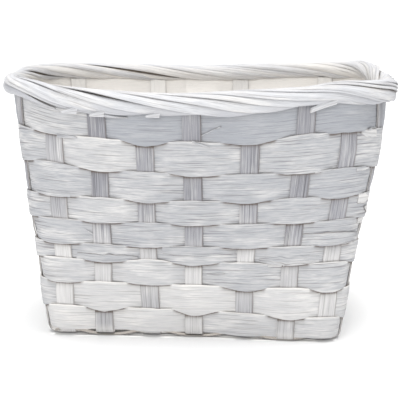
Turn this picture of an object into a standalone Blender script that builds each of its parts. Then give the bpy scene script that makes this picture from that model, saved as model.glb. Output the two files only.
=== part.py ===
"""Woven chip-wood basket: an oblong, flared basket of flat wood chips with a twisted border.

Metres, +Z up. The origin is at the centre of the base, on the surface that the basket stands on.
+X runs along the basket's length, and -Y is its front.

How it is made: seven stakes run from the front wall, under the base, up the back wall, and five run
across them from side to side. Four fillers close the base between the side stakes. Nine bands are
woven round the stakes, and a hoop lies on the stakes' tops, with the border strands wound over it.
"""

import math
from functools import lru_cache

import bpy
import numpy as np

MM = 0.001

# The wall's middle surface, from the base's plane up to the stakes' tops.
BASE_HALF_LENGTH = 85.5 * MM
BASE_HALF_DEPTH = 61.0 * MM
TOP_HALF_LENGTH = 109.5 * MM
TOP_HALF_DEPTH = 83.0 * MM
BASE_SQUARENESS = 16.0  # superellipse power: the base is nearly a rectangle
TOP_SQUARENESS = 4.0  # the top is a softly rounded one
WALL_TOP = 132.6 * MM
CORNER_LIFT = 4.7 * MM  # how far the top stands up at the corners

# Chips.
STAKE_WIDTH = 10.2 * MM
STAKE_THICKNESS = 0.9 * MM
BAND_THICKNESS = 0.8 * MM
WEAVE = 1.2 * MM  # from a stake's middle plane to that of the chip that crosses it
CROSSING_MARGIN = 0.5 * MM  # a crossing chip stays flat this far past the stake's edge
FRONT_BACK_STAKES = 7
SIDE_STAKES = 5
BASE_PITCH = 25.3 * MM  # between stakes in the base, both ways
TOP_PITCH_FRONT = 27.8 * MM
TOP_PITCH_SIDE = 28.0 * MM
FOLD = 2.4 * MM  # where a stake leaves the base's plane, inwards from the wall

# Heights between the bands, from the bottom of the first to the top of the ninth.
BAND_EDGES = [z * MM for z in (3.9, 16.5, 33.0, 46.5, 55.0, 68.0, 82.0, 98.0, 115.5, 132.0)]
BAND_GAP = 0.5 * MM
BAND_ENDS_GAP = 0.6 * MM  # a band's two ends meet behind a stake

# The base's plane is the middle of the front-to-back stakes.
BASE_PLANE = WEAVE + BAND_THICKNESS / 2
FILLER_GAP = 0.4 * MM
FILLER_OVERHANG = 1.0 * MM

# The border: a rope of overlapping strands wound over a hoop.
RIM_HEIGHT = 136.7 * MM
RIM_OVERHANG = 1.2 * MM  # from the wall's middle surface out to the rope's centre
RIM_HALF_WIDTH = 6.0 * MM
RIM_HALF_HEIGHT = 6.3 * MM
STRAND_THICKNESS = 1.8 * MM
STRANDS = 24
STRANDS_PER_TURN = 5
STRAND_START = math.radians(225)  # inside the wall, low down
STRAND_END = math.radians(-45)  # outside the wall, low down
STRAND_SPREAD = math.radians(30)  # half of the strand's width, as an angle round the rope
STRAND_TIP = 0.45  # a strand's width at its ends, as a share of its full width
STRAND_STATIONS = 13
HOOP_RADIUS = 3.3 * MM
HOOP_POINTS = 64

OUTLINE_STEPS = 1440
CORNER_POSTS = (0, 6, 7, 11, 12, 18, 19, 23)  # the posts on each side of the four corners


def blend(low, high, level):
    return low + (high - low) * level


class Outline:
    """The wall's middle surface seen from above, at one level from 0, the base, to 1, the top.

    Places along it are arc lengths, counterclockwise from the middle of the -X side.
    """

    def __init__(self, level):
        self.half_length = blend(BASE_HALF_LENGTH, TOP_HALF_LENGTH, level)
        self.half_depth = blend(BASE_HALF_DEPTH, TOP_HALF_DEPTH, level)
        self.power = BASE_SQUARENESS * (TOP_SQUARENESS / BASE_SQUARENESS) ** level
        self.lift = CORNER_LIFT * level
        self.angles = np.linspace(-math.pi, math.pi, OUTLINE_STEPS + 1)
        across, along = np.sin(self.angles), np.cos(self.angles)
        reach = (
            np.abs(along / self.half_length) ** self.power
            + np.abs(across / self.half_depth) ** self.power
        ) ** (-1 / self.power)
        self.x, self.y = reach * along, reach * across
        steps = np.hypot(np.diff(self.x), np.diff(self.y))
        self.places = np.concatenate([[0.0], np.cumsum(steps)])
        self.length = self.places[-1]

    def place_of(self, x, y):
        return float(np.interp(math.atan2(y, x), self.angles, self.places))

    def point(self, place):
        place = place % self.length
        return np.array(
            [np.interp(place, self.places, self.x), np.interp(place, self.places, self.y)]
        )

    def outward(self, place):
        ahead = self.point(place + MM) - self.point(place - MM)
        return np.array([ahead[1], -ahead[0]]) / np.hypot(*ahead)

    def lift_at(self, x, y):
        return 2 * self.lift * (x / self.half_length) ** 2 * (y / self.half_depth) ** 2

    def depth_at(self, x):
        return self.half_depth * (1 - abs(x / self.half_length) ** self.power) ** (1 / self.power)

    def length_at(self, y):
        return self.half_length * (1 - abs(y / self.half_depth) ** self.power) ** (1 / self.power)


@lru_cache(maxsize=None)
def outline(level):
    return Outline(level)


def level_of(height):
    return (height - BASE_PLANE) / (WALL_TOP - BASE_PLANE)


def wall_point(height, place, outwards=0.0):
    """A point of the wall at a height and an arc length along its outline there."""
    ring = outline(level_of(height))
    x, y = ring.point(place) + outwards * ring.outward(place)
    return (x, y, height + ring.lift_at(x, y))


def centred(count):
    """Whole numbers symmetric about zero: -3 to 3 for seven."""
    return range(-(count // 2), count // 2 + 1)


@lru_cache(maxsize=None)
def posts(height):
    """Arc lengths of the 24 places where a stake crosses the wall at this height, counterclockwise
    from the front wall's -X end: front, +X side, back, -X side."""
    level = level_of(height)
    ring = outline(level)
    xs = [k * blend(BASE_PITCH, TOP_PITCH_FRONT, level) for k in centred(FRONT_BACK_STAKES)]
    ys = [k * blend(BASE_PITCH, TOP_PITCH_SIDE, level) for k in centred(SIDE_STAKES)]
    corners = [(x, -ring.depth_at(x)) for x in xs]
    corners += [(ring.length_at(y), y) for y in ys]
    corners += [(x, ring.depth_at(x)) for x in reversed(xs)]
    corners += [(-ring.length_at(y), y) for y in reversed(ys)]
    found = []
    for x, y in corners:
        place = ring.place_of(x, y)
        if found and place < found[-1]:
            place += ring.length
        found.append(place)
    return tuple(found)


def material(name, colour, roughness):
    made = bpy.data.materials.new(name)
    made.use_nodes = True
    shader = made.node_tree.nodes["Principled BSDF"]
    shader.inputs["Base Color"].default_value = (*colour, 1.0)
    shader.inputs["Roughness"].default_value = roughness
    shader.inputs["Metallic"].default_value = 0.0
    made.diffuse_color = (*colour, 1.0)
    return made


def chip(name, rows, thickness, finish, parent):
    """A flat chip of even thickness whose middle surface passes through rows of points."""
    columns = len(rows[0])
    points = [p for row in rows for p in row]
    faces = [
        (i * columns + j, i * columns + j + 1, (i + 1) * columns + j + 1, (i + 1) * columns + j)
        for i in range(len(rows) - 1)
        for j in range(columns - 1)
    ]
    mesh = bpy.data.meshes.new(name)
    mesh.from_pydata(points, [], faces)
    mesh.materials.append(finish)
    made = bpy.data.objects.new(name, mesh)
    made.parent = parent
    bpy.context.scene.collection.objects.link(made)
    solid = made.modifiers.new("thickness", "SOLIDIFY")
    solid.thickness = thickness
    solid.offset = 0.0
    solid.use_even_offset = True
    return made


def wall_rows(post):
    """Rows of a stake's middle surface up the wall, from the lowest band edge to the stake's top."""
    heights = BAND_EDGES[:-1] + [WALL_TOP]
    sides = (-STAKE_WIDTH / 2, 0.0, STAKE_WIDTH / 2)
    return [[wall_point(z, posts(z)[post] + side) for side in sides] for z in heights]


def mirrored(rows):
    """The same rows with each one's points in the opposite order."""
    return [row[::-1] for row in rows]


def front_back_rows(k):
    """Down the front wall, straight across the base, and up the back wall."""
    ring = outline(0.0)
    xs = [k * BASE_PITCH + side for side in (-STAKE_WIDTH / 2, 0.0, STAKE_WIDTH / 2)]
    fold = [(FOLD, 0.0), (FOLD * 0.3, FOLD * 0.3)]  # inwards from the wall, and up
    base = [[(x, inset - ring.depth_at(x), BASE_PLANE + up) for x in xs] for inset, up in fold]
    far_base = [[(x, -y, z) for x, y, z in row] for row in base]
    front = wall_rows(FRONT_BACK_STAKES // 2 + k)
    back_post = FRONT_BACK_STAKES + SIDE_STAKES + FRONT_BACK_STAKES // 2 - k
    back = mirrored(wall_rows(back_post))
    return front[::-1] + base[::-1] + far_base + back


def crossing_stations(margin):
    """Places along +X, and heights from the base's plane, of a chip that passes under the odd
    front-to-back stakes and over the even ones."""
    flat = STAKE_WIDTH / 2 + margin
    stations = []
    for k in centred(FRONT_BACK_STAKES):
        height = -WEAVE if k % 2 else WEAVE
        stations += [(k * BASE_PITCH - flat, height), (k * BASE_PITCH + flat, height)]
    return stations


def side_rows(k):
    """Down the -X wall, under and over the front-to-back stakes, and up the +X wall."""
    ring = outline(0.0)
    ys = [k * BASE_PITCH + side for side in (-STAKE_WIDTH / 2, 0.0, STAKE_WIDTH / 2)]
    turn = [(ring.length_at(y) - FOLD * 0.4, y, BASE_PLANE) for y in ys]
    base = [
        [(x, y, BASE_PLANE + height) for y in ys] for x, height in crossing_stations(CROSSING_MARGIN)
    ]
    right = wall_rows(FRONT_BACK_STAKES + SIDE_STAKES // 2 + k)
    left_post = 2 * FRONT_BACK_STAKES + SIDE_STAKES + SIDE_STAKES // 2 - k
    left = mirrored(wall_rows(left_post))
    return left[::-1] + [[(-x, y, z) for x, y, z in turn]] + base + [turn] + right


def filler_rows(gap):
    """A filler between two side stakes, over the stakes that they pass under, and the other way."""
    middle = (gap + 0.5) * BASE_PITCH
    half = (BASE_PITCH - STAKE_WIDTH) / 2 - FILLER_GAP
    stations = crossing_stations(FILLER_OVERHANG)
    return [
        [(x, middle + side, BASE_PLANE - height) for side in (-half, half)] for x, height in stations
    ]


def band_stations(height, band):
    """Arc lengths and outward offsets along a band's edge, from behind one stake right round to it.

    Odd bands pass outside the first post, even ones inside it.
    """
    places = posts(height)
    count, length = len(places), outline(level_of(height)).length
    flat = STAKE_WIDTH / 2 + CROSSING_MARGIN

    def post(i):
        return places[i % count] + length * (i // count)

    def offset(i):
        return WEAVE if (i % count + band) % 2 else -WEAVE

    back_middle = FRONT_BACK_STAKES + SIDE_STAKES + FRONT_BACK_STAKES // 2
    first = back_middle if band % 2 else back_middle - 1
    stations = [(post(first) + BAND_ENDS_GAP / 2, offset(first))]
    for i in range(first, first + count):
        stations.append((post(i) + flat, offset(i)))
        stations.append(((post(i) + post(i + 1)) / 2, 0.0))
        stations.append((post(i + 1) - flat, offset(i + 1)))
        if (i + 1) % count in CORNER_POSTS:
            stations.append((post(i + 1), offset(i + 1)))
    stations.append((post(first + count) - BAND_ENDS_GAP / 2, offset(first)))
    return stations


def band_rows(band):
    low = BAND_EDGES[band - 1] + BAND_GAP / 2
    high = BAND_EDGES[band] - BAND_GAP / 2
    edges = [
        [wall_point(z, place, outwards) for place, outwards in band_stations(z, band)]
        for z in (low, high)
    ]
    return list(zip(*edges))


def rim_point(place, angle, half_width, half_height):
    """A point of the border's rope: angle 0 is outwards, and a quarter turn is up."""
    ring = outline(1.0)
    x, y = ring.point(place)
    centre = RIM_HEIGHT + ring.lift_at(x, y)
    x, y = (x, y) + (RIM_OVERHANG + half_width * math.cos(angle)) * ring.outward(place)
    return (x, y, centre + half_height * math.sin(angle))


def strand_rows(number):
    """One border strand: up the inside, over the top and down the outside, towards the right as
    seen from outside."""
    spacing = outline(1.0).length / STRANDS
    turned = STRAND_START - STRAND_END
    run = turned / (2 * math.pi) * STRANDS_PER_TURN * spacing
    half_width = RIM_HALF_WIDTH - STRAND_THICKNESS / 2
    half_height = RIM_HALF_HEIGHT - STRAND_THICKNESS / 2
    rows = []
    for i in range(STRAND_STATIONS):
        share = i / (STRAND_STATIONS - 1)
        full = min(1.0, STRAND_TIP + 6 * (1 - STRAND_TIP) * min(share, 1 - share))
        spread = STRAND_SPREAD * full
        angle = STRAND_START - turned * share
        place = number * spacing + run * share
        rows.append(
            [
                rim_point(place, angle + turn, half_width, half_height)
                for turn in (spread, 0.0, -spread)
            ]
        )
    return rows


def hoop(name, finish, parent):
    """The closed round hoop inside the border."""
    spacing = outline(1.0).length / HOOP_POINTS
    points = [rim_point(i * spacing, 0.0, 0.0, 0.0) for i in range(HOOP_POINTS)]
    curve = bpy.data.curves.new(name, "CURVE")
    curve.dimensions = "3D"
    curve.bevel_depth = HOOP_RADIUS
    curve.bevel_resolution = 1
    line = curve.splines.new("POLY")
    line.points.add(len(points) - 1)
    for spot, point in zip(line.points, points):
        spot.co = (*point, 1.0)
    line.use_cyclic_u = True
    curve.materials.append(finish)
    made = bpy.data.objects.new(name, curve)
    made.parent = parent
    bpy.context.scene.collection.objects.link(made)


def main():
    for old in list(bpy.data.objects):
        bpy.data.objects.remove(old)
    basket = bpy.data.objects.new("basket", None)
    bpy.context.scene.collection.objects.link(basket)

    stake_finish = material("stake_chip", (0.74, 0.75, 0.78), 0.75)
    band_finish = material("band_chip", (0.83, 0.83, 0.84), 0.72)
    base_finish = material("base_chip", (0.80, 0.77, 0.72), 0.78)
    strand_finish = material("border_strand", (0.88, 0.87, 0.86), 0.68)
    hoop_finish = material("hoop_cane", (0.78, 0.72, 0.62), 0.70)

    for number, k in enumerate(centred(FRONT_BACK_STAKES), 1):
        name = f"front_back_stake_{number}"
        chip(name, front_back_rows(k), STAKE_THICKNESS, stake_finish, basket)
    for number, k in enumerate(centred(SIDE_STAKES), 1):
        chip(f"side_stake_{number}", side_rows(k), BAND_THICKNESS, stake_finish, basket)
    for number in range(1, SIDE_STAKES):
        rows = filler_rows(number - 1 - SIDE_STAKES // 2)
        chip(f"base_filler_{number}", rows, BAND_THICKNESS, base_finish, basket)
    for band in range(1, len(BAND_EDGES)):
        chip(f"wall_band_{band}", band_rows(band), BAND_THICKNESS, band_finish, basket)
    hoop("rim_hoop", hoop_finish, basket)
    for number in range(STRANDS):
        name = f"rim_strand_{number + 1:02d}"
        chip(name, strand_rows(number), STRAND_THICKNESS, strand_finish, basket)


main()
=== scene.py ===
import math

import bpy
import numpy as np
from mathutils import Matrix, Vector


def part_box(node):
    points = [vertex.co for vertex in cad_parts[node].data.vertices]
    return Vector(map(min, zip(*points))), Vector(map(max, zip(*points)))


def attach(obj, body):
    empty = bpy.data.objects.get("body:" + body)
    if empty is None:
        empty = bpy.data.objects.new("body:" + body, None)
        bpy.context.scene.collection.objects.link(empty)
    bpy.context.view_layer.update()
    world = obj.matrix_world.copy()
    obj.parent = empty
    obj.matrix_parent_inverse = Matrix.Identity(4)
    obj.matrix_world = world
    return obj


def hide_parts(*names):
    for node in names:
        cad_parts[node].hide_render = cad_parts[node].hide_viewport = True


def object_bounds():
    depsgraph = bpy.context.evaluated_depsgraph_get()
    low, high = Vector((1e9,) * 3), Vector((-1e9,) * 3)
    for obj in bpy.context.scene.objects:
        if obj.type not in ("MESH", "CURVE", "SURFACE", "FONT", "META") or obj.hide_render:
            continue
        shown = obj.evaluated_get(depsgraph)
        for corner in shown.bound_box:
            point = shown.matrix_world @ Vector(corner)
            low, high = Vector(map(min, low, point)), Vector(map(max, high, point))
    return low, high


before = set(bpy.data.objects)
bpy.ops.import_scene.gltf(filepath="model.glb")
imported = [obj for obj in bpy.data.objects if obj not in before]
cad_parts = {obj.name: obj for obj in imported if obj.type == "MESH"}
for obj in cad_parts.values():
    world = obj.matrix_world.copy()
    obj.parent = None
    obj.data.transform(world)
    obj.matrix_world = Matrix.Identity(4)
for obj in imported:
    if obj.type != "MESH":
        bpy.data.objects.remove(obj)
CAD_LOW, CAD_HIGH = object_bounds()

MM = 0.001
POSTS = 24
FRONT_BACK = 7
SIDES = 5
BASE_PITCH = 25.3 * MM
TOP_PITCH_FRONT = 27.8 * MM
TOP_PITCH_SIDE = 28.0 * MM
STAKE_HALF = 5.15 * MM
CORNER_LIFT = 4.7 * MM
BASE_SQUARENESS, TOP_SQUARENESS = 16.0, 4.0
BASE_SHARE_LENGTH, BASE_SHARE_DEPTH = 0.781, 0.735  # the base's size, as a share of the top's

# The CAD's stakes reach this far beyond the wall's middle surface.
STAKE_BEYOND, SIDE_STAKE_BEYOND = 0.45 * MM, 0.4 * MM
STAKE_LOW, STAKE_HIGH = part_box("front_back_stake_4")
WALL_TOP = STAKE_HIGH.z
TOP_HALF_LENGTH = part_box("side_stake_3")[1].x - SIDE_STAKE_BEYOND
TOP_HALF_DEPTH = STAKE_HIGH.y - STAKE_BEYOND
BASE_PLANE = STAKE_LOW.z + STAKE_BEYOND
ROWS = 9
# The heights of the rows' lower edges, and of the last row's upper edge, inside the border.
EDGES = [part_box(f"wall_band_{k}")[0].z for k in range(1, ROWS + 1)] + [WALL_TOP + 0.5 * MM]
RIM_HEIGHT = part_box("rim_hoop")[0].z + 3.3 * MM

# ---------------------------------------------------------------- numbers that look random


def hashed(ix, iy, seed):
    """A value from -1 to 1 for each pair of whole numbers."""
    n = (ix * 374761393 + iy * 668265263 + seed * 982451653) & 0xFFFFFFFF
    n = ((n ^ (n >> 13)) * 1274126177) & 0xFFFFFFFF
    return ((n ^ (n >> 16)) & 0xFFFF) / 32767.5 - 1.0


def noise(x, y, seed):
    """Smooth values from -1 to 1 over a grid of unit cells."""
    x, y = np.broadcast_arrays(np.asarray(x, float), np.asarray(y, float))
    ix, iy = np.floor(x).astype(np.int64), np.floor(y).astype(np.int64)
    fx, fy = x - ix, y - iy
    fx, fy = fx * fx * (3 - 2 * fx), fy * fy * (3 - 2 * fy)
    low = hashed(ix, iy, seed) * (1 - fx) + hashed(ix + 1, iy, seed) * fx
    high = hashed(ix, iy + 1, seed) * (1 - fx) + hashed(ix + 1, iy + 1, seed) * fx
    return low * (1 - fy) + high * fy


def smooth(x, low, high):
    """0 below low, 1 above high, and an even ramp between them."""
    t = np.clip((x - low) / (high - low), 0, 1)
    return t * t * (3 - 2 * t)


# ---------------------------------------------------------------- the wall's middle surface


def blend(low, high, level):
    return low + (high - low) * level


OUTLINE_STEPS = 2880


def outline(level):
    """(half length, half depth, power, t, x, y, arc length) of the wall seen from above, at a
    level, which runs from 0 at the base to 1 at the top."""
    a = TOP_HALF_LENGTH * blend(BASE_SHARE_LENGTH, 1.0, level)
    b = TOP_HALF_DEPTH * blend(BASE_SHARE_DEPTH, 1.0, level)
    power = BASE_SQUARENESS * (TOP_SQUARENESS / BASE_SQUARENESS) ** min(max(level, 0.0), 1.0)
    t = np.linspace(-math.pi, math.pi, OUTLINE_STEPS + 1)
    s, c = np.sin(t), np.cos(t)
    reach = (np.abs(c / a) ** power + np.abs(s / b) ** power) ** (-1 / power)
    x, y = reach * c, reach * s
    arc = np.concatenate([[0.0], np.cumsum(np.hypot(np.diff(x), np.diff(y)))])
    return a, b, power, t, x, y, arc


def centred(count):
    """Whole numbers round 0, as many as count."""
    return range(-(count // 2), count // 2 + 1)


# How far each front post stands from its even place, at the top and at the base, in mm. The back
# posts' places vary by about as much.
SWAY_TOP = [0.8, -1.4, -1.6, -2.4, 2.1, 4.6, 0.8]
SWAY_BASE = [1.8, -1.8, -0.5, -1.6, 2.4, 2.0, 0.0]
SWAY_BACK = 1.1 * MM


def sway(number, level, back=False):
    if back:
        return SWAY_BACK * (hashed(number, 3, 55) + 0.8 * level * hashed(number, 5, 56))
    return blend(SWAY_BASE[number], SWAY_TOP[number], level) * MM


class Wall:
    """A table of the wall over (level, u), where u counts the stakes counterclockwise from the
    front wall's -X end."""

    PER = 40  # columns of the tables from one post to the next

    LEVELS = np.linspace(-0.04, 1.1, 58)

    def __init__(self):
        columns = POSTS * self.PER
        self.u = np.arange(columns) / self.PER
        xs, ys, nx, ny, lift, arcs = [], [], [], [], [], []
        for level in self.LEVELS:
            a, b, power, t, x, y, arc = outline(level)
            px = [k * blend(BASE_PITCH, TOP_PITCH_FRONT, level) for k in centred(FRONT_BACK)]
            py = [k * blend(BASE_PITCH, TOP_PITCH_SIDE, level) for k in centred(SIDES)]
            front = [v + sway(n, level) for n, v in enumerate(px)]
            back = [v + sway(n, level, back=True) for n, v in enumerate(px)]
            spots = [(v, -b * (1 - abs(v / a) ** power) ** (1 / power)) for v in front]
            spots += [(a * (1 - abs(v / b) ** power) ** (1 / power), v) for v in py]
            spots += [(v, b * (1 - abs(v / a) ** power) ** (1 / power)) for v in back[::-1]]
            spots += [(-a * (1 - abs(v / b) ** power) ** (1 / power), v) for v in py[::-1]]
            places = []
            for sx, sy in spots:
                place = float(np.interp(math.atan2(sy, sx), t, arc))
                if places and place < places[-1]:
                    place += arc[-1]
                places.append(place)
            places.append(places[0] + arc[-1])
            at = np.interp(self.u, np.arange(POSTS + 1), places) % arc[-1]
            gx, gy = np.interp(at, arc, x), np.interp(at, arc, y)
            step = 0.5 * MM
            dx = np.interp((at + step) % arc[-1], arc, x) - np.interp((at - step) % arc[-1], arc, x)
            dy = np.interp((at + step) % arc[-1], arc, y) - np.interp((at - step) % arc[-1], arc, y)
            size = np.hypot(dx, dy)
            xs.append(gx)
            ys.append(gy)
            nx.append(dy / size)
            ny.append(-dx / size)
            lift.append(2 * CORNER_LIFT * level * (gx / a) ** 2 * (gy / b) ** 2)
            arcs.append(np.diff(places))
        self.tables = [np.array(v) for v in (xs, ys, nx, ny, lift)]
        self.arcs = np.array(arcs)

    def look_up(self, u, z):
        """(x, y, the outward direction's x and y, lift) at u and a height."""
        level = (z - BASE_PLANE) / (WALL_TOP - BASE_PLANE)
        step = self.LEVELS[1] - self.LEVELS[0]
        row = np.clip((level - self.LEVELS[0]) / step, 0, len(self.LEVELS) - 1.001)
        i, fi = np.floor(row).astype(int), row - np.floor(row)
        column = (u % POSTS) * self.PER
        j, fj = np.floor(column).astype(int), column - np.floor(column)
        j %= POSTS * self.PER
        k = (j + 1) % (POSTS * self.PER)
        return [
            (t[i, j] * (1 - fj) + t[i, k] * fj) * (1 - fi)
            + (t[i + 1, j] * (1 - fj) + t[i + 1, k] * fj) * fi
            for t in self.tables
        ]

    def point(self, u, z, out=0.0):
        """The point at u, a height and a distance outside the wall's middle surface."""
        u, z, out = np.broadcast_arrays(*(np.asarray(v, float) for v in (u, z, out)))
        x, y, nx, ny, lift = self.look_up(u, z)
        return np.stack([x + out * nx, y + out * ny, z + lift], -1)

    def beside(self, post, z, across):
        """u of the point this far across, in metres, from a post."""
        z, across = np.broadcast_arrays(np.asarray(z, float), np.asarray(across, float))
        level = (z - BASE_PLANE) / (WALL_TOP - BASE_PLANE)
        left = np.interp(level, self.LEVELS, self.arcs[:, (post - 1) % POSTS])
        right = np.interp(level, self.LEVELS, self.arcs[:, post % POSTS])
        return post + np.where(across < 0, across / left, across / right)


WALL = Wall()


def eased(x, places, values):
    """A smooth curve near these values, in mm, at these places, in mm."""
    fine = np.linspace(places[0], places[-1], 241)
    kernel = np.hanning(33)
    line = np.pad(np.interp(fine, places, values), len(kernel) // 2, mode="edge")
    return MM * np.interp(x / MM, fine, np.convolve(line, kernel / kernel.sum(), "valid"))


# The basket's own irregular shape, in mm. The border stands above its even height by RIM_FRONT and
# RIM_BACK, given along x, and by RIM_LEFT and RIM_RIGHT in the middle of the short walls. The short
# walls lean by LEAN_LEFT and LEAN_RIGHT, given by height.
RIM_FRONT = ([-104, -81, -54, -11, 22, 54, 76, 104], [5.0, 0.3, -0.1, 0.8, 1.2, 2.3, 3.7, 0.6])
RIM_BACK = ([-107, -80, -33, 7, 40, 67, 93, 108], [-0.6, -0.3, 2.0, 2.4, 1.9, 1.2, 0.3, 5.2])
RIM_LEFT, RIM_RIGHT = 4.4 * MM, 2.6 * MM
LEAN_LEFT = ([0, 12, 30, 40, 55, 80, 95, 140], [-1.5, -1.3, -0.7, 0.5, 1.4, 1.7, 2.7, 2.7])
LEAN_RIGHT = (
    [0, 15, 30, 45, 60, 75, 95, 115, 140],
    [-3.2, -3.4, -3.2, -3.4, -2.0, -1.3, 0.2, 1.3, -0.4],
)
# The base's front edge stands nearer at its right end and further back at its left end, and the
# wall above its right end is lower.
BASE_NEARER, BASE_FURTHER, BASE_LOWER = 8.5 * MM, 3.2 * MM, 1.3 * MM
HALF_DEPTH = 83 * MM


def warp(p):
    """Bend even points to the basket's irregular shape."""
    x, y, z = p[..., 0], p[..., 1], p[..., 2]
    back = np.clip((y + HALF_DEPTH) / (2 * HALF_DEPTH), 0, 1)
    top = smooth(z, 110 * MM, 131 * MM)
    rise = top * ((1 - back) * eased(x, *RIM_FRONT) + back * eased(x, *RIM_BACK))
    side = smooth(np.abs(x), 90 * MM, 112 * MM) * (1 - smooth(np.abs(y), 15 * MM, 78 * MM))
    rise = rise + top * side * np.where(x < 0, RIM_LEFT, RIM_RIGHT)
    front, low = smooth(-y, 20 * MM, 58 * MM), 1 - smooth(z, 10 * MM, 70 * MM)
    left, right = smooth(-x, 0, 75 * MM), smooth(x, -10 * MM, 70 * MM)
    rise = rise - BASE_LOWER * front * right * smooth(z, 0.8 * MM, 6 * MM) * low
    nearer = front * low * (BASE_NEARER * right - BASE_FURTHER * left)
    lean = eased(z, *LEAN_LEFT) * smooth(-x, 0, 95 * MM)
    lean = lean + eased(z, *LEAN_RIGHT) * smooth(x, 0, 95 * MM)
    return np.stack([x + lean, y - nearer, z + rise], -1)


# ---------------------------------------------------------------- meshes


CROWDING = 1.6
INNER_GRAIN_SHIFT = 0.37  # so that a chip's two faces show different grain
SHARP_ANGLE = math.radians(48)


def across_places(count):
    """Places from -1 to 1 across a chip, closer together near its edges."""
    t = np.linspace(-1, 1, count)
    return np.sign(t) * (1 - (1 - np.abs(t)) ** CROWDING)


def chip(middle, half, along, across, wear_and_shade, tone_and_light, inner_tone_and_light=0.0, inner_wear_and_shade=None):
    """A closed chip round a middle surface (rows along, columns across), with its own
    coordinates, its wear and painted shade (1 is dark) and its tone (above 0 is lighter, below 0
    greyer), which also carries painted light and shade. half is half of its thickness. The inner
    tone is added on its inner face; on bands and stakes it is painted light inside the basket.
    That face's wear and painted shade may differ too."""
    rows, columns = middle.shape[:2]
    middle = warp(middle)
    ds, dw = np.gradient(middle, axis=0), np.gradient(middle, axis=1)
    normal = np.cross(ds, dw)
    normal /= np.linalg.norm(normal, axis=-1, keepdims=True) + 1e-12
    half = np.broadcast_to(half, (rows, columns))[..., None]
    size = rows * columns
    grid = np.arange(size).reshape(rows, columns)
    a, b = grid[:-1, :-1].ravel(), grid[1:, :-1].ravel()
    c, d = grid[1:, 1:].ravel(), grid[:-1, 1:].ravel()
    low, high, start, end = grid[:, 0], grid[:, -1], grid[0], grid[-1]
    faces = [
        np.stack([a, b, c, d], 1),
        np.stack([a, d, c, b], 1) + size,
        np.stack([low[:-1], low[:-1] + size, low[1:] + size, low[1:]], 1),
        np.stack([high[:-1], high[1:], high[1:] + size, high[:-1] + size], 1),
        np.stack([start[:-1], start[1:], start[1:] + size, start[:-1] + size], 1),
        np.stack([end[:-1], end[:-1] + size, end[1:] + size, end[1:]], 1),
    ]
    inner_wear_and_shade = wear_and_shade if inner_wear_and_shade is None else inner_wear_and_shade
    along, across, wear_and_shade, tone_and_light = (
        np.concatenate([np.broadcast_to(v, (rows, columns)).ravel() for v in sides])
        for sides in ((along, along), (across, across), (wear_and_shade, inner_wear_and_shade), (tone_and_light, tone_and_light))
    )
    along[size:] += INNER_GRAIN_SHIFT
    tone_and_light[size:] += inner_tone_and_light
    points = np.concatenate([(middle + normal * half), (middle - normal * half)]).reshape(-1, 3)
    return points, np.concatenate(faces), np.stack([along, across], 1), wear_and_shade, tone_and_light


def piece(name, parts, finish, node):
    """One object of several closed chips, which replaces a CAD node."""
    starts = np.cumsum([0] + [len(part[0]) for part in parts])
    points = np.concatenate([part[0] for part in parts])
    faces = np.concatenate([part[1] + start for part, start in zip(parts, starts)])
    flat = np.concatenate([part[2] for part in parts])
    mesh = bpy.data.meshes.new(name)
    mesh.vertices.add(len(points))
    mesh.vertices.foreach_set("co", points.astype(np.float32).ravel())
    mesh.loops.add(faces.size)
    mesh.loops.foreach_set("vertex_index", faces.astype(np.int32).ravel())
    mesh.polygons.add(len(faces))
    mesh.polygons.foreach_set("loop_start", np.arange(0, faces.size, 4, dtype=np.int32))
    mesh.update(calc_edges=True)
    layer = mesh.uv_layers.new(name="strip")
    layer.data.foreach_set("uv", flat[faces.ravel()].astype(np.float32).ravel())
    for label, place in (("wear_and_shade", 3), ("tone_and_light", 4)):
        made = mesh.attributes.new(label, "FLOAT", "POINT")
        values = np.concatenate([part[place] for part in parts])
        made.data.foreach_set("value", values.astype(np.float32))
    mesh.materials.append(finish)
    mesh.shade_smooth()
    mesh.set_sharp_from_angle(angle=SHARP_ANGLE)
    made = bpy.data.objects.new(name, mesh)
    bpy.context.scene.collection.objects.link(made)
    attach(made, "root")
    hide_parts(node)


def lengths(middle):
    """Arc length of each row along a chip's middle column."""
    centre = middle[:, middle.shape[1] // 2]
    steps = np.linalg.norm(np.diff(centre, axis=0), axis=1)
    return np.concatenate([[0.0], np.cumsum(steps)])


# ---------------------------------------------------------------- materials


# Dark brown of worn wood, which also serves as painted shade in the crevices.
WORN_AND_SHADE = (0.12, 0.095, 0.08)


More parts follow.
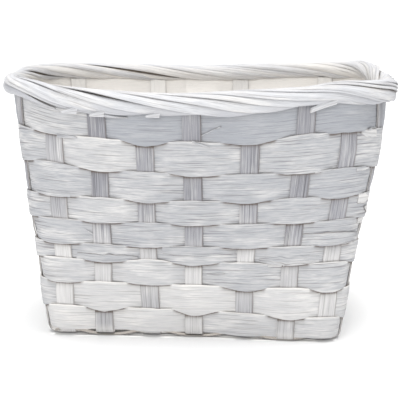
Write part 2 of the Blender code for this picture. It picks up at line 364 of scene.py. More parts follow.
def wood(name, wash, thin, line, bare, contrast, rough, along=1.0, across=1.0):
    """Whitewashed chip wood: paint over lengthwise grain, thinner in streaks, with dark grain
    lines, bare patches, worn places and painted shade, and a tone that also carries painted light
    and shade. along and across scale the grain."""
    made = bpy.data.materials.new(name)
    made.use_nodes = True
    tree = made.node_tree
    node, link = tree.nodes.new, tree.links.new
    shader = tree.nodes["Principled BSDF"]
    shader.inputs["Roughness"].default_value = rough
    shader.inputs["Specular IOR Level"].default_value = 0.28
    uv = node("ShaderNodeUVMap")
    uv.uv_map = "strip"

    def texture(scale_along, scale_across, detail, roughness, shift=0.0):
        mapping = node("ShaderNodeMapping")
        mapping.inputs["Scale"].default_value = (scale_along, scale_across, 1)
        mapping.inputs["Location"].default_value = (shift, shift * 0.7, 0)
        link(uv.outputs["UV"], mapping.inputs["Vector"])
        made_noise = node("ShaderNodeTexNoise")
        made_noise.noise_dimensions = "2D"
        made_noise.inputs["Scale"].default_value = 1.0
        made_noise.inputs["Detail"].default_value = detail
        made_noise.inputs["Roughness"].default_value = roughness
        link(mapping.outputs["Vector"], made_noise.inputs["Vector"])
        return made_noise.outputs["Fac"]

    def spread(value, low, high, to_low=0.0, to_high=1.0):
        remap = node("ShaderNodeMapRange")
        remap.interpolation_type = "SMOOTHSTEP"
        remap.inputs["From Min"].default_value = low
        remap.inputs["From Max"].default_value = high
        remap.inputs["To Min"].default_value = to_low
        remap.inputs["To Max"].default_value = to_high
        link(value, remap.inputs["Value"])
        return remap.outputs["Result"]

    def mixed(factor, first, second):
        mix = node("ShaderNodeMix")
        mix.data_type = "RGBA"
        link(factor, mix.inputs["Factor"])
        for socket, value in ((mix.inputs["A"], first), (mix.inputs["B"], second)):
            if isinstance(value, tuple):
                socket.default_value = (*value, 1.0)
            else:
                link(value, socket)
        return mix.outputs["Result"]

    def attribute(label):
        found = node("ShaderNodeAttribute")
        found.attribute_name = label
        return found.outputs["Fac"]

    def maths(operation, first, second):
        made_maths = node("ShaderNodeMath")
        made_maths.operation = operation
        for socket, value in zip(made_maths.inputs, (first, second)):
            if isinstance(value, float):
                socket.default_value = value
            else:
                link(value, socket)
        return made_maths.outputs["Value"]

    grain = texture(85 * along, 2300 * across, 2.0, 0.65)
    streaks = texture(22 * along, 1050 * across, 2.0, 0.55, 3.1)
    lines = texture(30 * along, 1600 * across, 1.0, 0.5, 7.7)
    patches = texture(38, 130, 3.0, 0.6, 11.3)
    colour = mixed(spread(patches, 0.42, 0.72, 0.0, 0.32), wash, bare)
    colour = mixed(spread(grain, 0.42, 0.66, 0.0, contrast), colour, thin)
    colour = mixed(spread(streaks, 0.5, 0.72, 0.0, contrast * 0.6), colour, thin)
    colour = mixed(spread(lines, 0.6, 0.72, 0.0, contrast), colour, line)
    # The tone attribute lightens towards bare wood or greys towards thin paint; it holds the wood's
    # own tone as well as painted light and shade.
    tone_and_light = attribute("tone_and_light")
    colour = mixed(spread(tone_and_light, 0.0, 1.4, 0.0, 0.9), colour, bare)
    colour = mixed(spread(tone_and_light, 0.0, -1.0, 0.0, 0.7), colour, thin)
    # Darker towards that brown by the wear attribute, which holds real wear and painted shade.
    worn_and_shaded = maths("MULTIPLY", attribute("wear_and_shade"), spread(grain, 0.3, 0.6, 0.75, 1.0))
    colour = mixed(worn_and_shaded, colour, WORN_AND_SHADE)
    link(colour, shader.inputs["Base Color"])
    height = maths("ADD", maths("MULTIPLY", lines, -0.6), maths("MULTIPLY", grain, 0.8))
    height = maths("ADD", height, maths("MULTIPLY", streaks, 0.7))
    bump = node("ShaderNodeBump")
    bump.inputs["Strength"].default_value = 0.7
    bump.inputs["Distance"].default_value = 0.3 * MM
    link(height, bump.inputs["Height"])
    link(bump.outputs["Normal"], shader.inputs["Normal"])
    return made


BAND_WOOD = wood("band_wood", (0.505, 0.505, 0.515), (0.31, 0.325, 0.36), (0.15, 0.14, 0.15),
                 (0.97, 0.94, 0.90), 0.6, 0.7)
STAKE_WOOD = wood("stake_wood", (0.41, 0.41, 0.435), (0.205, 0.205, 0.23), (0.08, 0.08, 0.09),
                  (0.94, 0.92, 0.89), 0.8, 0.74, 0.35, 1.35)
BASE_WOOD = wood("base_wood", (0.72, 0.70, 0.67), (0.52, 0.49, 0.46), (0.30, 0.26, 0.23),
                 (0.92, 0.89, 0.84), 0.5, 0.78)
BORDER_WOOD = wood("border_wood", (0.64, 0.645, 0.665), (0.40, 0.405, 0.435), (0.26, 0.235, 0.22),
                   (0.86, 0.82, 0.76), 0.38, 0.66)
HOOP_WOOD = wood("hoop_wood", (0.50, 0.42, 0.33), (0.36, 0.29, 0.22), (0.22, 0.16, 0.12),
                 (0.50, 0.40, 0.30), 0.6, 0.72)

# ---------------------------------------------------------------- woven wall

# How far a band stands outside and inside the wall's middle surface, and half of a chip's
# thickness, which is less at its edges.
OUT, IN = 0.95 * MM, 0.7 * MM
BAND_HALF, STAKE_HALF_THICK, FLAP_HALF = 0.36 * MM, 0.42 * MM, 0.24 * MM
# For the edge below each band: how far a belly of the band above it hangs down, and how far the
# band below it stands up, in mm.
HANG = [0.4, 1.7, 0.8, 0.9, 0.6, 0.7, 0.9, 0.9, 1.5]
STAND = [0.5, 0.4, 0.4, 0.4, 0.3, 0.4, 0.3, 0.4, 1.6]
# Bellies of the front wall that differ, by (row, post): (hang, stand, how pointed).
ODD = {
    (2, 1): (2.5, 0.5, 0.7), (2, 3): (3.6, 0.4, 0.6), (2, 5): (1.7, 0.6, 0.2),
    (3, 2): (0.6, 1.4, 0.0), (3, 4): (2.4, 0.5, 0.2), (3, 6): (2.2, 0.4, 0.1),
    (4, 1): (1.5, 0.3, 0.3), (4, 3): (1.7, 0.5, 0.3), (7, 0): (0.6, 0.6, 0.0),
    (8, 1): (1.3, 0.4, 0.3), (8, 5): (0.6, 0.8, 0.0), (9, 0): (0.3, 0.0, 0.0),
    (9, 2): (2.1, 0.0, 0.1), (9, 4): (2.0, 0.0, 0.1), (9, 6): (0.2, 0.0, 0.0),
}
# How far each row edge of the front wall stands from its even height, at the left end, in the
# middle and at the right end, in mm.
TILT = [
    (0.4, -0.9, -1.6), (0.9, 0.3, -2.0), (-0.6, -0.6, -2.4), (-0.7, -0.5, -2.2),
    (0.0, 0.4, -0.5), (0.8, 0.8, 0.0), (0.3, 0.3, -0.1), (2.0, 0.2, -0.7),
    (0.9, 0.8, 1.0), (0.0, 0.0, 0.0),
]
TILT_SPAN = 88 * MM
# How light each row is: partly the paint's own tone, partly painted light, lighter in the rows near
# the floor and greyer in the top row, in the shade under the border.
ROW_TONE_AND_LIGHT = [0.42, 0.42, 0.35, 0.0, 0.0, 0.0, -0.2, 0.05, -0.65]
# Segments of the front wall that are lighter or greyer than their row, by (row, post).
TINTS = {
    (9, 0): 0.9, (8, 1): 0.3, (7, 4): -0.2, (7, 6): -0.2, (6, 1): 0.25, (5, 4): -0.25,
    (5, 6): -0.2, (2, 3): 0.15, (2, 5): 0.1, (1, 0): 0.2, (1, 2): 0.15,
}
# Creases pressed into bands: (row, post place, place across, angle, length in mm, depth in mm).
CREASES = [
    (8, 0.78, 0.15, 50, 9, 0.45), (9, 3.35, -0.35, 45, 6, 0.5), (8, 3.15, -0.25, 60, 8, 0.4),
    (2, 1.15, -0.2, 60, 10, 0.5), (2, 2.85, -0.45, -20, 12, 0.4), (3, 1.75, 0.0, 12, 16, 0.35),
    (3, 2.25, 0.1, 10, 12, 0.35), (1, 3.6, 0.0, 15, 9, 0.3), (7, 3.9, 0.2, 8, 12, 0.25),
    (5, 3.7, -0.1, 6, 14, 0.3), (6, 3.2, 0.3, -8, 10, 0.25), (9, 1.85, 0.1, 5, 14, 0.25),
]


# Each row's ends overlap behind this post, or behind the one before it.
SEAM_POST = 15


def edge(b, u):
    """Height of the edge under row b + 1, at u."""
    x, y = np.moveaxis(WALL.point(u, np.full(np.shape(u), EDGES[b]), 0.0)[..., :2], -1, 0)
    x, front = x / TILT_SPAN, np.where(y < 0, 1.0, -0.4) * smooth(np.abs(y), 0, 50 * MM)
    left, mid, right = TILT[b]
    bend = left * x * (x - 1) / 2 + mid * (1 - x**2) + right * x * (x + 1) / 2
    along = (u - SEAM_POST) % POSTS
    ragged = 0.3 * noise(along * 1.7, 0, 60 + b) + 0.15 * noise(along * 7, 0, 80 + b)
    return EDGES[b] + MM * (front * bend + ragged)


def parity(k, u):
    """+1 where band k lies outside the stakes and -1 where it lies inside, with flat crossings."""
    s = np.cos(math.pi * (u + k - 1))
    near_straight = 1 - np.abs(2 * np.arccos(np.clip(s, -1, 1)) / math.pi - 1)
    straight = np.sign(s) * (1 - near_straight)
    return 0.45 * (1.5 * s - 0.5 * s**3) + 0.55 * np.clip(1.3 * straight, -1, 1)


# Numbers of their own for each row's bellies: (row) -> (post, which number).
VARY = {k: np.array([[hashed(i, c, 100 + k) for c in range(5)] for i in range(POSTS)])
        for k in range(1, ROWS + 1)}
MEET = 0.08 * MM
POST_STEP, HALF_ROW = 27, 8  # mm from one post to the next, and across half of a row


def band_surface(k, u, w):
    """(z, out) of band k at u, and w from -1 at its lower edge to 1 at its upper edge."""
    u, w = np.broadcast_arrays(u, w)
    seed = 100 + k
    near = np.round(u).astype(int)
    away, which, vary = u - near, near % POSTS, VARY[k]
    hang = HANG[k - 1] * (1 + 0.3 * vary[:, 0])
    stand = STAND[k - 1] * (1 + 0.5 * vary[:, 1])
    point = 0.25 * (1 + vary[:, 2])
    for (row, post), (odd_hang, odd_stand, odd_point) in ODD.items():
        if row == k:
            hang[post], stand[post], point[post] = odd_hang, odd_stand, odd_point
    belly = np.cos(math.pi * np.clip(away, -0.5, 0.5))
    sharp = 1 - 2 * np.abs(away)
    low_belly = belly + (sharp - belly) * point[which]
    low = edge(k - 1, u) - MEET - hang[which] * MM * low_belly
    high = edge(k, u) + MEET + stand[which] * MM * belly
    low = low + 0.12 * MM * belly * noise(u * 6, 0, seed + 8)
    high = high + 0.12 * MM * belly * noise(u * 6, 4, seed + 9)
    z = low + (high - low) * (w + 1) / 2
    over = parity(k, u)
    out = np.where(over > 0, OUT, IN) * over
    out = out + 0.12 * MM * (1 - w**2) * over + 0.2 * MM * vary[which, 3] * w * belly
    out = out - 0.32 * MM * w * belly * np.sign(over)
    out = out + 0.14 * MM * noise(u * 3, w * 2.5, seed) + 0.07 * MM * noise(u * 2, w * 9, seed + 1)
    for row, post, across, angle, length, depth in CREASES:
        if row == k:
            a, c = (u - post) * POST_STEP, (w - across) * HALF_ROW
            cos, sin = math.cos(math.radians(angle)), math.sin(math.radians(angle))
            off, run = np.abs(c * cos - a * sin), np.abs(a * cos + c * sin)
            out = out - depth * MM * np.clip(1 - off / 1.6, 0, 1) * smooth(length - run, 0, 3)
    return z, out


def painted_crevice_shade(k, u, z, over, side=1):
    """Painted shade, from 0 to 1, on a point of band k (or of a stake, where k is 0) beside a band
    that passes outside it, or inside it where side is -1: a dark line and a softer fall-off just
    under that band's lower edge, and a fainter line just above its upper edge."""
    shade = np.zeros(np.broadcast_shapes(u.shape, z.shape))
    for other in (k - 1, k + 1) if k else range(1, ROWS + 1):
        if 1 <= other <= ROWS:
            outside = smooth(side * (parity(other, u) - over), 0.0, 0.5)
            under = band_surface(other, u, -1.0)[0] - z
            above = z - band_surface(other, u, 1.0)[0]
            under_edge = np.maximum(under, 0) / MM
            near = np.exp(-((under_edge / 0.75) ** 2)) + 0.28 * np.exp(-((under_edge / 2.4) ** 2))
            near = np.minimum(near, 1) * (under > -2 * MM)
            far = 0.5 * np.exp(-((np.maximum(above, 0) / (0.5 * MM)) ** 2)) * (above > -2 * MM)
            shade = np.maximum(shade, np.maximum(near, far) * outside)
    return shade


def edge_thin(w):
    """A chip's thickness at w across it, as a share of its full thickness."""
    return 1 - 0.45 * np.abs(w) ** 10


def flap(k, start, stop, low, high, lift, tone_and_light, tilt):
    """A split or torn part of band k, from start to stop (in posts) and low to high (across). It
    stands off by lift at each end, in mm, tapers towards stop and shifts across by tilt."""
    t = np.linspace(0, 1, 40)[:, None]
    v = across_places(7)[None, :]
    taper = 1 - 0.6 * smooth(t, 0.55, 1.0)
    jag = 1 + 0.2 * noise(t * 9, v * 2, k * 7 + int(start * 10))
    w = (low + high) / 2 + tilt * t + (high - low) / 2 * v * taper * jag
    u = start + (stop - start) * (t + 0.02 * v * noise(v * 3, 1, k))
    z, out = band_surface(k, u, w)
    out = out + MM * (lift[0] + (lift[1] - lift[0]) * t**1.5) + 0.12 * MM * (1 - v**2)
    middle = WALL.point(u, z, out)
    if stop < start:
        middle = middle[:, ::-1]
    inner = v * (1 if low + high < 0 else -1)
    # The edge along the split is darkened, as painted shade in the split, and the tip is a little
    # darker.
    wear_and_shade = 0.8 * smooth(inner, 0.8, 0.98) + 0.25 * smooth(t, 0.85, 1)
    return chip(middle, FLAP_HALF * edge_thin(v), lengths(middle)[:, None] + start,
                w * HALF_ROW * MM, wear_and_shade, tone_and_light)


# Split and torn parts: (row, start, stop, low, high, (lift at start, lift at stop), tone, tilt).
FLAPS = [
    (4, 0.35, 1.75, -0.95, -0.15, (0.5, 0.6), -0.1, 0.1),
    (4, 2.3, 3.8, 0.0, 0.9, (0.45, 0.5), -0.1, -0.1),
    (4, 5.7, 4.3, -0.9, -0.1, (0.45, 0.5), 0.0, 0.1),
    (5, 5.12, 6.6, -0.95, 0.0, (0.4, 1.5), 0.1, 0.1),
    (5, 6.75, 5.9, -0.9, -0.35, (0.9, 0.4), 0.2, -0.1),
    (8, 6.72, 6.3, 0.58, 1.02, (0.6, 0.4), 0.35, 0.1),
    (9, 6.85, 6.45, -1.0, -0.78, (0.4, 1.1), 0.6, -0.05),
    (7, 6.25, 6.6, 0.7, 1.0, (0.4, 1.0), 0.3, 0.0),
    (6, 6.45, 6.8, 0.2, 0.95, (0.5, 1.1), 0.6, 0.0),
    (6, 6.95, 6.7, -0.6, -0.1, (0.5, 1.0), 0.4, 0.2),
    (5, 6.6, 6.95, 0.4, 0.9, (0.5, 1.2), 0.5, 0.0),
    (9, 0.1, 0.55, -1.14, -0.94, (0.3, 0.5), 0.0, -0.03),
    (7, 0.3, -0.5, -1.05, -0.85, (0.3, 0.6), 0.0, 0.05),
    (8, 3.0, 3.3, 0.94, 1.05, (0.4, 1.6), 0.1, -0.25),
    (9, 3.15, 3.5, -0.5, -0.42, (0.5, 1.1), 0.0, 0.5),
    (7, 5.3, 5.7, 0.84, 0.98, (0.4, 0.8), 0.3, 0.1),
    (3, 3.25, 3.6, -0.2, 0.0, (0.3, 0.8), 0.1, 0.2),
    (3, 4.5, 5.2, 0.75, 0.95, (0.3, 0.6), 0.3, 0.0),
    (5, 0.6, 0.85, 0.2, 0.28, (0.4, 1.0), 0.0, -0.5),
    (8, 9.4, 10.2, -0.9, -0.4, (0.4, 1.2), 0.3, 0.1),
    (6, 12.3, 13.2, -0.8, -0.1, (0.4, 0.9), 0.2, 0.1),
    (3, 15.2, 16.1, 0.2, 0.8, (0.4, 0.8), 0.0, 0.0),
    (7, 19.6, 20.4, -0.9, -0.5, (0.4, 1.1), 0.4, 0.1),
    (4, 21.3, 22.4, -0.9, -0.2, (0.4, 0.8), 0.0, 0.0),
]


def band(k):
    first = SEAM_POST if k % 2 else SEAM_POST - 1
    reach = 0.33
    u = np.arange(first - reach, first + POSTS + reach + 0.01, 0.06)[:, None]
    w = across_places(19)[None, :]
    z, out = band_surface(k, u, w)
    # The last stretch lies inside the first one, behind the same stake.
    out = out - 0.95 * MM * smooth(u, first + POSTS - reach - 0.25, first + POSTS - reach)
    middle = WALL.point(np.broadcast_to(u, z.shape), z, out)
    over = parity(k, u)
    segment = (2 * np.round((u + k - 1) / 2) - k + 1).astype(int)
    tints = 0.25 * VARY[k][:, 4]
    for (row, post), value in TINTS.items():
        if row == k:
            tints[post] = value
    tint = tints[segment % POSTS]
    worn_edge = smooth(-w, 0.93, 1.0) * (0.5 + 0.5 * noise(u * 3, w, k))
    # The lower edge is worn; painted shade darkens the crevices beside the bands that cross it.
    wear_and_shade = 0.2 * worn_edge + painted_crevice_shade(k, u, z, over)
    # The upper edge is lighter: partly bare wood, partly a painted highlight.
    tone_and_light = ROW_TONE_AND_LIGHT[k - 1] + tint + 0.45 * smooth(w, 0.86, 0.97) + 0 * z
    # The inner face is painted light, whatever the row's tone, as painted light inside the basket.
    parts = [chip(middle, BAND_HALF * edge_thin(w), lengths(middle)[:, None] + k * 1.3, z, wear_and_shade,
                  tone_and_light, 1.6 - ROW_TONE_AND_LIGHT[k - 1], 0.2 * worn_edge + 0.7 * painted_crevice_shade(k, u, z, over, -1))]
    for row, *rest in FLAPS:
        if row == k:
            *where, flap_tone, tilt = rest
            parts.append(flap(k, *where, flap_tone + ROW_TONE_AND_LIGHT[k - 1] * 0.5, tilt))
    piece(f"fine_wall_band_{k}", parts, BAND_WOOD, f"wall_band_{k}")


CHIP_PLACES = across_places(15)[None, :]
INNER_PAINTED_LIGHT = 1.8  # the inner faces are painted lighter, as painted light inside the basket


def stake_offset(post, z):
    """A stake leans away from the bands that cross it."""
    centres = [(EDGES[k] + EDGES[k + 1]) / 2 for k in range(ROWS)]
    values = [-0.35 * MM if (post + k + 1) % 2 else 0.45 * MM for k in range(ROWS)]
    return np.interp(z, centres, values)


def wall_rows(post, w, seed):
    """Rows of a stake's middle surface from the bottom edge up to its top, and the painted shade
    on their outer and inner faces in the crevices beside the bands."""
    z = np.arange(BASE_PLANE + 3.0 * MM, WALL_TOP, 1.0 * MM)[:, None]
    drift = 0.5 * MM * noise(z / (34 * MM), 0, seed)
    half = STAKE_HALF * (1 + 0.05 * noise(z / (30 * MM), 3, seed))
    u = WALL.beside(post, z, w * half + drift)
    out = stake_offset(post, z) + 0.12 * MM * noise(z / (9 * MM), w * 3, seed)
    for groove in range(3):
        place = hashed(groove, seed, 9) * 0.75 + 0.12 * noise(z / (60 * MM), 9 + groove, seed)
        out = out - 0.2 * MM * np.exp(-(((w - place) / 0.09) ** 2))
    shades = [painted_crevice_shade(0, float(post) + 0 * u, z, 0.0, side) for side in (1, -1)]
    return WALL.point(u, z, out), np.array(shades)


def folded(top_row, corner_row, base_row):
    """The rows of a stake's fold between the wall and the base."""
    t = np.linspace(0, 1, 8)[1:-1, None, None]
    return (1 - t) ** 2 * top_row + 2 * t * (1 - t) * corner_row + t**2 * base_row


def stake_mesh(node, front_post, back_post, base_rows, w, seed, lighter, drop=0.0):
    """A stake that runs down at one post, along the base and up at another. drop is how far its
    first fold stands below the base's plane."""
    front, front_shade = wall_rows(front_post, w, seed)
    back, back_shade = wall_rows(back_post, -w, seed + 50)
    corner_front = WALL.point(WALL.beside(front_post, BASE_PLANE, w * STAKE_HALF), BASE_PLANE)
    corner_front[..., 2] -= drop
    corner_back = WALL.point(WALL.beside(back_post, BASE_PLANE, -w * STAKE_HALF), BASE_PLANE)
    fold_front = folded(front[0], corner_front[0], base_rows[0])
    fold_back = folded(back[0], corner_back[0], base_rows[-1])[::-1]
    middle = np.concatenate([front[::-1], fold_front, base_rows, fold_back, back])
    blank = [np.zeros((2, *rows.shape[:2])) for rows in (fold_front, base_rows, fold_back)]
    shade, inner_shade = np.concatenate([front_shade[:, ::-1], *blank, back_shade], axis=1)
    along = lengths(middle)[:, None] + seed * 0.9
    rim = np.clip((np.abs(w) - 0.9) / 0.1, 0, 1)
    base = 1 - smooth(middle[..., 2], 2 * MM, 9 * MM)
    high = smooth(middle[..., 2], 30 * MM, 110 * MM)
    shadow_side = 0.65 * smooth(w, 0.84, 0.95)
    # Edges and foot are a little darker; painted shade darkens the crevices beside the bands, and
    # one side carries a painted shadow.
    wear_and_shade = np.maximum(0.16 * rim + 0.12 * base + shade, shadow_side)
    # Lighter near the foot and darker towards the top: partly the paint's own tone, partly painted
    # shade under the border.
    tone_and_light = 0.3 * noise(along / 0.03, 0, seed + 5) + 0.4 * base + 0.5 - 0.95 * high + lighter
    tone_and_light = np.minimum(tone_and_light, 0.75)
    inner_wear_and_shade = 0.16 * rim + 0.7 * inner_shade
    part = chip(middle, STAKE_HALF_THICK * edge_thin(w), along, w * STAKE_HALF, wear_and_shade, tone_and_light,
                (INNER_PAINTED_LIGHT * (1 - base)).ravel(), inner_wear_and_shade)
    piece(f"fine_{node}", [part], STAKE_WOOD, node)


LIGHTER = {1: 0.6, 7: 0.2}  # front stakes drawn lighter
SIDE_LIGHTER = 0.5
LOW_STAKE = 6  # the stake whose front fold touches the floor


def front_back_stake(number):
    k = number - 1 - FRONT_BACK // 2
    w = CHIP_PLACES
    a, b, power = outline(0.0)[:3]
    depth = b * (1 - abs(k * BASE_PITCH / a) ** power) ** (1 / power) - 2.6 * MM
    y = np.linspace(-depth, depth, 58)[:, None]
    drift = blend(sway(number - 1, 0), sway(number - 1, 0, back=True), (y / depth + 1) / 2)
    x = k * BASE_PITCH + drift + w * STAKE_HALF
    y, x = np.broadcast_arrays(y, x)
    drop = BASE_PLANE - 0.55 * MM if number == LOW_STAKE else 0.0
    z = BASE_PLANE + 0.12 * MM * noise(y / (20 * MM), w * 2, number)
    z = z - drop * smooth(-y, depth - 9 * MM, depth)
    base = np.stack([x, y, z], -1)
    stake_mesh(f"front_back_stake_{number}", number - 1, 19 - number, base, w, 10 + number,
               LIGHTER.get(number, 0.0), drop)


BASE_HALF_LENGTH, FILLER_HALF = 81.5 * MM, 7.1 * MM


def base_wave(x):
    """How far a side stake stands above the base's plane, as it crosses the front-to-back ones."""
    s = np.cos(math.pi * x / BASE_PITCH)
    return 1.25 * MM * (1.5 * s - 0.5 * s**3) * (1 - smooth(np.abs(x), 79 * MM, 84 * MM))


def side_stake(number):
    k = number - 1 - SIDES // 2
    w = CHIP_PLACES
    a, b, power = outline(0.0)[:3]
    length = a * (1 - abs(k * BASE_PITCH / b) ** power) ** (1 / power) - 2.4 * MM
    x = np.linspace(-length, length, 96)[:, None]
    y = k * BASE_PITCH - w * STAKE_HALF
    x, y = np.broadcast_arrays(x, y)
    base = np.stack([x, y, BASE_PLANE + base_wave(x)], -1)
    stake_mesh(f"side_stake_{number}", POSTS - number, FRONT_BACK - 1 + number, base, w,
               30 + number, SIDE_LIGHTER)


def base_chip(middle_y, half_width, seed, wear_and_shade=0.0, tone_and_light=0.3):
    """A loose chip woven along the base, over the stakes that the side stakes pass under."""
    w = CHIP_PLACES
    x = np.linspace(-BASE_HALF_LENGTH, BASE_HALF_LENGTH, 96)[:, None]
    x, y = np.broadcast_arrays(x, middle_y + w * half_width)
    z = BASE_PLANE - base_wave(x) + 0.1 * MM * noise(x / (12 * MM), w * 3, seed)
    rim = np.clip((np.abs(w) - 0.9) / 0.1, 0, 1)
    return chip(np.stack([x, y, z], -1), BAND_HALF * edge_thin(w), x + seed * 0.8, y,
                np.maximum(0.25 * rim, wear_and_shade), tone_and_light, 0.1)


def filler(number):
    parts = [base_chip((number - 1 - SIDES // 2 + 0.5) * BASE_PITCH, FILLER_HALF, number)]
    if number in (1, SIDES - 1):  # a narrow splint closes the base beside each long wall
        inner = SIDES // 2 * BASE_PITCH + STAKE_HALF + 0.3 * MM
        outer = TOP_HALF_DEPTH * BASE_SHARE_DEPTH - 0.8 * MM
        place = math.copysign((inner + outer) / 2, number - SIDES / 2)
        # The splint is painted dark and grey, as painted shade under the long wall's lower edge.
        parts.append(base_chip(place, (outer - inner) / 2, number + 4, 0.5, -0.6))
    piece(f"fine_base_filler_{number}", parts, BASE_WOOD, f"base_filler_{number}")


# ---------------------------------------------------------------- border

RING = outline(1.0)
RING_LENGTH = RING[6][-1]
OVERHANG = 1.2 * MM
ROPE_HALF_WIDTH, ROPE_HALF_HEIGHT = 6.0 * MM, 6.3 * MM
HOOP_RADIUS = 3.0 * MM
SPACING = RING_LENGTH / POSTS
WIDE, NARROW = 33, 19  # half of a splint's width, in degrees round the border
LAY = 8.0  # how many spacings a strand runs along in one turn round the hoop
# How thick the border is along the front, against its even thickness.
FAT_FRONT = (
    [-104, -80, -54, -11, 22, 54, 76, 104],
    [0.86, 1.08, 1.15, 1.02, 1.24, 1.0, 0.95, 1.16],
)


def rope(place, angle, depth):
    """A point of the border: angle 0 is outwards and a quarter turn is up; depth is how far it
    lies under the rope's surface."""
    place, angle, depth = np.broadcast_arrays(place, angle, depth)
    a, b, _, _, x, y, arc = RING
    at = place % RING_LENGTH
    step = 0.8 * MM
    px, py = np.interp(at, arc, x), np.interp(at, arc, y)
    dx = np.interp((at + step) % RING_LENGTH, arc, x) - np.interp((at - step) % RING_LENGTH, arc, x)
    dy = np.interp((at + step) % RING_LENGTH, arc, y) - np.interp((at - step) % RING_LENGTH, arc, y)
    size = np.hypot(dx, dy)
    nx, ny = dy / size, -dx / size
    lift = 2 * CORNER_LIFT * (px / a) ** 2 * (py / b) ** 2
    back = smooth(py, -60 * MM, 40 * MM)
    fat = (1 - back) * eased(px, *FAT_FRONT) / MM + back
    fat = fat * (1 + 0.04 * noise(place / (30 * MM), 0, 77))
    out = OVERHANG + (ROPE_HALF_WIDTH * (0.5 + 0.5 * fat) - depth) * np.cos(angle)
    up = (ROPE_HALF_HEIGHT * fat - depth) * np.sin(angle)
    return np.stack([px + out * nx, py + out * ny, RIM_HEIGHT + lift + up], -1)


def sliver(place, seed, half_spread):
    """A flat splint wound once over the border, from under its inside to under its outside.
    half_spread is half of its width, in degrees round the border."""
    vary = [hashed(seed, c, 300) for c in range(8)]
    t = np.linspace(0, 1, 96)[:, None]
    w = across_places(11)[None, :]
    poke = max(0.0, vary[6] - 0.25)
    start = math.radians(250 + 6 * vary[0])
    end = math.radians(-78 - 16 * poke + 6 * vary[1])
    angle = start + (end - start) * t + math.radians(4.0) * noise(t * 4.3, 2, seed)
    run = (start - end) / (2 * math.pi) * (LAY + 0.2 * vary[2]) * SPACING
    place = place + 0.1 * SPACING * vary[3] + run * t + 1.2 * MM * noise(t * 4, 0, seed)
    near_end = np.minimum(t, 1 - t)
    tip = np.minimum(1, 0.22 + 7 * near_end)
    spread = math.radians(half_spread + 3 * vary[4]) * tip * (1 + 0.12 * noise(t * 5, 7, seed))
    gap = np.clip(vary[0] + (0.62 if half_spread == WIDE else 0.4), 0, 1)
    spread = spread * (1 - 0.2 * gap)
    slant = np.cos(angle)
    depth = (1.25 + 0.35 * vary[5] + w * (0.3 + 0.7 * slant) - 0.3 * (1 - w**2)) * MM
    depth = depth + 0.25 * MM * noise(t * 6, 0, seed) + 0.1 * MM * noise(t * 9, w * 4, seed)
    corner = smooth(np.interp(place % RING_LENGTH, RING[6], RING[4]), 84 * MM, 98 * MM)
    depth = depth + corner * MM * (0.5 * vary[7] + 0.35 * w * slant)
    depth = depth + 1.5 * MM * (1 - smooth(t, 0, 0.12))
    depth = depth + (1.3 - 4.5 * poke) * MM * smooth(t, 0.86, 1)
    middle = rope(place, angle + spread * w, depth)
    half = 0.5 * MM * (1 - 0.4 * np.abs(w) ** 6) * tip
    rim = np.clip((np.abs(w) - 0.9) / 0.1, 0, 1)
    inside = np.clip(-slant, 0, 1)
    # The edge tucked under the next strand is darkened, as painted shade in the gap between
    # strands.
    tucked_shade = smooth(w * slant, 0.4 - 0.25 * gap, 0.85) * (0.12 + 0.85 * gap)
    wear_and_shade = 0.16 * rim + 0.08 * inside + 0.25 * (1 - smooth(near_end, 0, 0.06)) + tucked_shade
    # On the rope's lower outer half the tone is greyer, as painted shade, and on its inner side
    # lighter, as painted light inside the basket.
    low = smooth(-np.sin(angle), 0.0, 0.9) * np.clip(slant, 0, 1)
    tone_and_light = 0.6 * inside - 1.4 * low + 0.3 * vary[7] + 0 * w
    return chip(middle, half, lengths(middle)[:, None] + seed * 0.5, w * 2.6 * MM, wear_and_shade, tone_and_light)


def stub(x, drop, length, width, taper):
    """A cut end that sticks out from under the border on the front, attached at x."""
    xs, ys, arc = RING[4:]
    front = ys < -0.6 * RING[1]
    place = float(np.interp(x, xs[front], arc[front]))
    t = np.linspace(0, 1, 16)[:, None]
    w = np.linspace(-1, 1, 7)[None, :]
    top = rope(place, math.radians(-48), 0.2 * MM)
    along = np.array([-length, -1.6 * MM, -drop])
    across = np.array([0.25, 0.0, 1.0]) * width / 2
    middle = top + t[..., None] * along + w[..., None] * across * (1 - taper * t[..., None])
    middle[..., 1] -= 0.5 * MM * (1 - w**2)
    return chip(middle, 0.4 * MM, t * length, w * width / 2, 0.1 + 0.3 * (t > 0.94), 0.1 + 0 * w)


# Strands made of one wide splint; the others are pairs of narrow ones.
SINGLE = {0, 1, 4, 8, 13, 17, 20, 22, 23}
# Strands with a cut end: (x, drop, length, width, all in mm, and how much it tapers).
STUBS = {
    0: (-66.0, 1.4, 9.0, 4.2, 0.92),
    1: (-51.0, 1.2, 8.5, 4.0, 0.92),
    2: (-20.0, 0.8, 8.0, 3.2, 0.92),
    5: (75.5, 4.6, 15.0, 3.2, 0.25),
}


def strand(number):
    place = number * SPACING
    if number in SINGLE:
        parts = [sliver(place, 2 * number, WIDE)]
    else:
        parts = [sliver(place + shift * SPACING, 2 * number + n, NARROW)
                 for n, shift in enumerate((0.0, 0.5))]
    if number in STUBS:
        *sizes, taper = STUBS[number]
        parts.append(stub(*(v * MM for v in sizes), taper))
    name = f"rim_strand_{number + 1:02d}"
    piece(f"fine_{name}", parts, BORDER_WOOD, name)


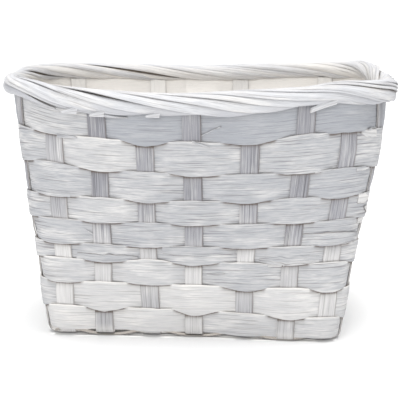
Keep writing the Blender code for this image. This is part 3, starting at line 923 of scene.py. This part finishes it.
def hoop():
    """The hoop that the strands are wound over."""
    t = np.linspace(0, RING_LENGTH, 260, endpoint=False)[:, None]
    turn = np.linspace(0, 2 * math.pi, 12, endpoint=False)[None, :]
    points = warp(rope(t, -turn, ROPE_HALF_HEIGHT - HOOP_RADIUS))
    rows, columns = points.shape[:2]
    grid = np.arange(rows * columns).reshape(rows, columns)
    a, b = grid, np.roll(grid, -1, axis=0)
    c, d = np.roll(b, -1, axis=1), np.roll(a, -1, axis=1)
    faces = np.stack([a.ravel(), d.ravel(), c.ravel(), b.ravel()], 1)
    mesh = bpy.data.meshes.new("fine_rim_hoop")
    mesh.from_pydata(points.reshape(-1, 3).tolist(), [], faces.tolist())
    layer = mesh.uv_layers.new(name="strip")
    flat = np.stack([np.broadcast_to(t, (rows, columns)).ravel(),
                     np.broadcast_to(turn * 3 * MM, (rows, columns)).ravel()], 1)
    loops = np.empty(len(mesh.loops), np.int32)
    mesh.loops.foreach_get("vertex_index", loops)
    layer.data.foreach_set("uv", flat[loops].astype(np.float32).ravel())
    mesh.materials.append(HOOP_WOOD)
    mesh.shade_smooth()
    made = bpy.data.objects.new("fine_rim_hoop", mesh)
    bpy.context.scene.collection.objects.link(made)
    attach(made, "root")
    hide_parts("rim_hoop")


for k in range(1, ROWS + 1):
    band(k)
for number in range(1, FRONT_BACK + 1):
    front_back_stake(number)
for number in range(1, SIDES + 1):
    side_stake(number)
for number in range(1, SIDES):
    filler(number)
for number in range(POSTS):
    strand(number)
hoop()

# ---------------------------------------------------------------- floor, light and camera


def plain(name, colour, rough):
    made = bpy.data.materials.new(name)
    made.use_nodes = True
    shader = made.node_tree.nodes["Principled BSDF"]
    shader.inputs["Base Color"].default_value = (*colour, 1.0)
    shader.inputs["Roughness"].default_value = rough
    shader.inputs["Specular IOR Level"].default_value = 0.0
    return made


def stage():
    mesh = bpy.data.meshes.new("floor")
    half = 6.0
    corners = [(-half, -half, 0), (half, -half, 0), (half, half, 0), (-half, half, 0)]
    mesh.from_pydata(corners, [], [(0, 1, 2, 3)])
    mesh.materials.append(plain("floor_white", (0.97, 0.97, 0.97), 0.9))
    floor = bpy.data.objects.new("floor", mesh)
    floor.location.z = CAD_LOW.z - 0.2 * MM
    bpy.context.scene.collection.objects.link(floor)


def sun(name, direction, strength, angle, colour):
    """A light from far away; angle, in degrees, is how wide and so how soft it is."""
    data = bpy.data.lights.new(name, "SUN")
    data.energy = strength * math.pi
    data.angle = math.radians(angle)
    data.color = colour
    made = bpy.data.objects.new(name, data)
    made.rotation_euler = Vector(direction).to_track_quat("-Z", "Y").to_euler()
    bpy.context.scene.collection.objects.link(made)


def light():
    world = bpy.data.worlds.new("studio")
    world.use_nodes = True
    background = world.node_tree.nodes["Background"]
    background.inputs["Color"].default_value = (0.95, 0.975, 1.0, 1.0)
    background.inputs["Strength"].default_value = 0.54
    bpy.context.scene.world = world
    sun("key", (-0.03, -0.05, -1.0), 0.95, 50, (1.0, 0.985, 0.965))
    sun("fill", (0.2, 1.0, -0.45), 0.33, 30, (1.0, 0.995, 0.985))


def camera():
    lens, distance, height = 119.9, 0.8056, 0.2229
    pitch, aside, turn = 0.1885, 1.06 * MM, 0.0117
    data = bpy.data.cameras.new("camera")
    data.lens = lens
    data.sensor_width = 36.0
    made = bpy.data.objects.new("camera", data)
    x, y = aside, -distance
    made.location = (
        x * math.cos(turn) - y * math.sin(turn),
        x * math.sin(turn) + y * math.cos(turn),
        height,
    )
    made.rotation_euler = (math.pi / 2 - pitch, 0, turn)
    bpy.context.scene.collection.objects.link(made)
    bpy.context.scene.camera = made


stage()
light()
camera()
bpy.context.scene.view_settings.view_transform = "Standard"
